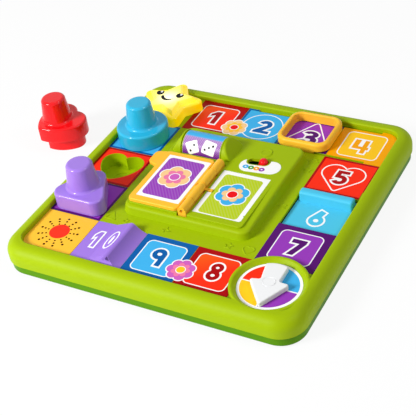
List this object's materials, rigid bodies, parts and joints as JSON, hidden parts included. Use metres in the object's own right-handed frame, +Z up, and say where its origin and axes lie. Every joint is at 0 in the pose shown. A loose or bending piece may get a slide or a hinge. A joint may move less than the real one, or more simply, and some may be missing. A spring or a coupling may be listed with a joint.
{
  "type": "baby activity center",
  "caption": "Square play board with a ring of number tiles round a raised platform: knobbed shape plugs, sliders, hinged key, spinner, picture roller, turning page and light-up star button.",
  "frame": {"origin": "centre of the board, on the surface that its feet stand on", "axes": "+Z up, +X along the front edge from the speaker tile towards the spinner, +Y from the front edge towards the row of tiles 1 to 4"},
  "size_m": [0.3743, 0.292, 0.065],
  "materials": {
    "lime": "satin",
    "base_green": "satin",
    "yellow": "gloss",
    "red": "gloss",
    "light_blue": "gloss",
    "lavender": "gloss",
    "glow_yellow": "gloss",
    "print": "satin",
    "white": "gloss",
    "steel": "satin",
    "rubber": "matt",
    "board": "matt",
    "dark": "matt",
    "battery_wrap": "satin",
    "brass": "satin"
  },
  "bodies": {
    "base": {"top_housing": "lime", "bottom_housing": "base_green", "battery_door": "base_green", "battery_door_screw": "steel", "housing_screws": "steel", "rubber_feet": "rubber", "batteries": "battery_wrap", "battery_contacts": "steel", "circuit_board": "board", "speaker_driver": "dark", "star_lamp": "board", "push_switches": "dark", "tile_one": "print", "tile_two": "print", "tile_three": "print", "tile_four": "print", "tile_five": "print", "tile_seven": "print", "tile_eight": "print", "tile_nine": "print", "triangle_label": "print", "heart_label": "print", "disc_label": "print", "speaker_grille": "yellow", "six_track": "dark", "spinner_dial": "print", "roller_axle": "steel", "hinge_base": "yellow", "hinge_pin": "steel", "page_catch": "yellow", "card_label": "print", "switch_label": "print"},
    "star": {"star_button": "glow_yellow"},
    "triangle": {"triangle_piece": "lavender"},
    "disc": {"disc_piece": "light_blue"},
    "heart": {"heart_piece": "red"},
    "frame": {"frame_slider": "yellow", "frame_keeper": "yellow"},
    "slider_six": {"six_slider": "light_blue"},
    "key_ten": {"ten_key": "lavender"},
    "arrow": {"spinner_arrow": "white"},
    "picture_roller": {"roller": "print"},
    "page": {"book_page": "yellow", "page_label": "print"},
    "switch": {"switch_knob": "red"}
  },
  "joints": [
    {"name": "star_press", "type": "slide", "parent": "base", "child": "star", "axis": [0, 0, 1], "range_m": [-0.0022, 0], "stiffness_N_per_m": 300, "springref_m": 0.003},
    {"name": "triangle_lift", "type": "slide", "parent": "base", "child": "triangle", "axis": [0, 0, 1], "range_m": [0, 0.06]},
    {"name": "disc_lift", "type": "slide", "parent": "base", "child": "disc", "axis": [0, 0, 1], "range_m": [0, 0.06]},
    {"name": "heart_lift", "type": "slide", "parent": "base", "child": "heart", "axis": [0, 0, 1], "range_m": [0, 0.06]},
    {"name": "frame_slide", "type": "slide", "parent": "base", "child": "frame", "axis": [1, 0, 0], "range_m": [-0.052, 0.05]},
    {"name": "six_slide", "type": "slide", "parent": "base", "child": "slider_six", "axis": [0, -1, 0], "range_m": [0, 0.034]},
    {"name": "key_press", "type": "hinge", "parent": "base", "child": "key_ten", "pos_m": [-0.0755, -0.104, 0.0175], "axis": [0, 1, 0], "range_deg": [0, 4.5], "stiffness_Nm_per_rad": 0.3, "springref_deg": -6.88},
    {"name": "arrow_spin", "type": "hinge", "parent": "base", "child": "arrow", "pos_m": [0.1055, -0.104, 0.0247], "axis": [0, 0, 1], "continuous": true},
    {"name": "roller_spin", "type": "hinge", "parent": "base", "child": "picture_roller", "pos_m": [-0.02825, 0.0435, 0.0326], "axis": [1, 0, 0], "continuous": true},
    {"name": "page_turn", "type": "hinge", "parent": "base", "child": "page", "pos_m": [-0.0035, -0.015, 0.0352], "axis": [0, 1, 0], "range_deg": [0, 178]},
    {"name": "switch_slide", "type": "slide", "parent": "base", "child": "switch", "axis": [0.9945, 0.1045, 0], "range_m": [-0.0106, 0]}
  ]
}
